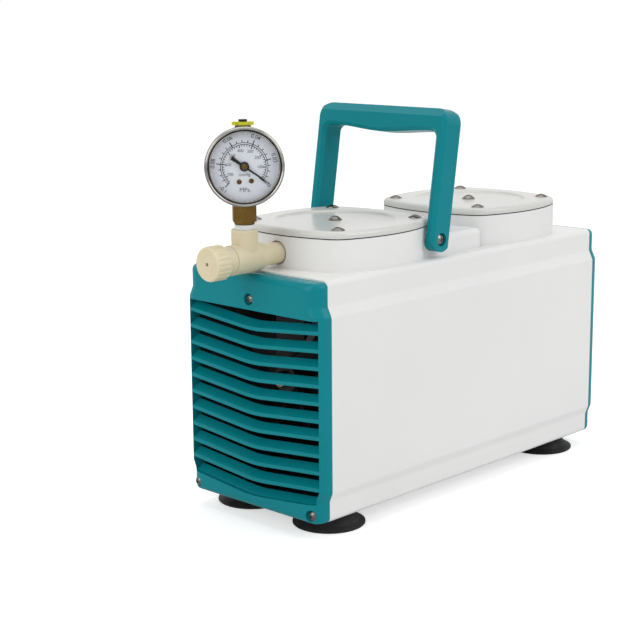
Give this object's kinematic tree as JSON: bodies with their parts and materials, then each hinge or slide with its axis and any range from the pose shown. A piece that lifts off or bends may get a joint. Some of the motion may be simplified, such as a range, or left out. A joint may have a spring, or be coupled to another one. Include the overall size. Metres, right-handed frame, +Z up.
{
  "type": "diaphragm vacuum pump",
  "caption": "Twin-head diaphragm vacuum pump: louvred box housing, bail handle, vacuum gauge on a nylon tee with a regulator knob, rubber feet.",
  "frame": {"origin": "centre of the housing's underside; the rubber feet reach 12 mm below it", "axes": "+X along the shaft from the gauge end to the rear end, +Y to the ported side, +Z up"},
  "size_m": [0.3829, 0.1521, 0.2891],
  "materials": {
    "white_enamel": "gloss white enamel on a die-cast aluminium housing",
    "teal_plastic": "glossy moulded teal plastic",
    "black_rubber": "matt black rubber",
    "bright_steel": "bright stainless steel",
    "zinc_steel": "zinc-plated steel",
    "core_steel": "dull laminated electrical steel",
    "cast_aluminium": "as cast, machined faces",
    "copper_wire": "varnished copper winding",
    "cream_nylon": "natural translucent nylon",
    "brass_metal": "machined brass",
    "clear_glass": "clear glass",
    "dial_white": null,
    "black_plastic": "black moulded plastic",
    "yellow_plastic": "yellow moulded plastic",
    "grey_plastic": "grey moulded plastic case"
  },
  "bodies": {
    "housing": {"main_housing": "white_enamel", "front_grille_cover": "teal_plastic", "rear_grille_cover": "teal_plastic", "grille_cover_screws": "bright_steel", "foot_front_right": "black_rubber", "foot_front_left": "black_rubber", "foot_rear_right": "black_rubber", "foot_rear_left": "black_rubber", "foot_screws": "bright_steel", "head_cover_front": "white_enamel", "head_cover_rear": "white_enamel", "head_gasket_front": "black_rubber", "head_gasket_rear": "black_rubber", "valve_plate_front": "cast_aluminium", "valve_plate_rear": "cast_aluminium", "valve_flaps": "black_rubber", "diaphragm_front": "black_rubber", "diaphragm_rear": "black_rubber", "head_screws": "bright_steel", "motor_cradle": "zinc_steel", "stator_core": "core_steel", "stator_windings": "copper_wire", "motor_end_shield_front": "cast_aluminium", "motor_end_shield_rear": "cast_aluminium", "motor_bearings": "bright_steel", "motor_tie_bolts": "zinc_steel", "run_capacitor": "grey_plastic", "tee_fitting": "cream_nylon", "gauge_case": "bright_steel", "gauge_bezel": "bright_steel", "gauge_lens": "clear_glass", "gauge_dial": "dial_white", "gauge_socket": "brass_metal", "gauge_movement": "brass_metal", "gauge_vent_plug": "black_plastic", "handle_screws": "bright_steel", "suction_nozzle": "brass_metal", "exhaust_silencer": "brass_metal", "cable_gland": "black_plastic", "switch_frame": "black_plastic"},
    "rotor": {"motor_shaft": "bright_steel", "rotor_core": "core_steel", "eccentric_front": "zinc_steel", "eccentric_rear": "zinc_steel", "cooling_fan_front": "black_plastic", "cooling_fan_rear": "black_plastic"},
    "rod_front": {"connecting_rod_front": "cast_aluminium", "diaphragm_clamp_front": "cast_aluminium", "rod_bearing_front": "bright_steel"},
    "rod_rear": {"connecting_rod_rear": "cast_aluminium", "diaphragm_clamp_rear": "cast_aluminium", "rod_bearing_rear": "bright_steel"},
    "handle": {"carrying_handle": "teal_plastic"},
    "knob": {"regulator_knob": "cream_nylon"},
    "stem": {"regulator_stem": "cream_nylon"},
    "pointer": {"gauge_pointer": "black_plastic"},
    "lever": {"gauge_vent_lever": "yellow_plastic"},
    "rocker": {"power_rocker": "black_plastic"}
  },
  "joints": [
    {"name": "rotor_spin", "type": "hinge", "parent": "housing", "child": "rotor", "pos_m": [0, 0, 0.088], "axis": [1, 0, 0], "continuous": true},
    {"name": "rod_front_turn", "type": "hinge", "parent": "rotor", "child": "rod_front", "pos_m": [-0.0783, 0, 0.091], "axis": [1, 0, 0], "continuous": true, "deforming": ["diaphragm_front"]},
    {"name": "rod_rear_turn", "type": "hinge", "parent": "rotor", "child": "rod_rear", "pos_m": [0.0783, 0, 0.085], "axis": [1, 0, 0], "continuous": true, "deforming": ["diaphragm_rear"]},
    {"name": "handle_swing", "type": "hinge", "parent": "housing", "child": "handle", "pos_m": [-0.0326, 0, 0.1835], "axis": [0, 1, 0], "range_deg": [-9, 58]},
    {"name": "knob_turn", "type": "hinge", "parent": "stem", "child": "knob", "pos_m": [-0.2, 0, 0.1805], "axis": [-1, 0, 0], "range_deg": [0, 723]},
    {"name": "stem_travel", "type": "slide", "parent": "housing", "child": "stem", "axis": [-1, 0, 0], "range_m": [0, 0.0025]},
    {"name": "pointer_turn", "type": "hinge", "parent": "housing", "child": "pointer", "pos_m": [-0.1693, 0, 0.2444], "axis": [-0.6293, -0.7771, 0], "range_deg": [0, 262]},
    {"name": "vent_lever_turn", "type": "hinge", "parent": "housing", "child": "lever", "pos_m": [-0.1693, 0, 0.272], "axis": [0, 0, 1], "range_deg": [0, 90]},
    {"name": "power_switch_rock", "type": "hinge", "parent": "housing", "child": "rocker", "pos_m": [0.1665, -0.036, 0.1575], "axis": [0, 0, 1], "range_deg": [0, 10]}
  ],
  "couplings": [
    {"joint": "rod_front_turn", "follows": "rotor_spin", "ratio": -1},
    {"joint": "rod_rear_turn", "follows": "rotor_spin", "ratio": -1},
    {"joint": "knob_turn", "follows": "stem_travel", "rad_per_m": 5026.5}
  ]
}
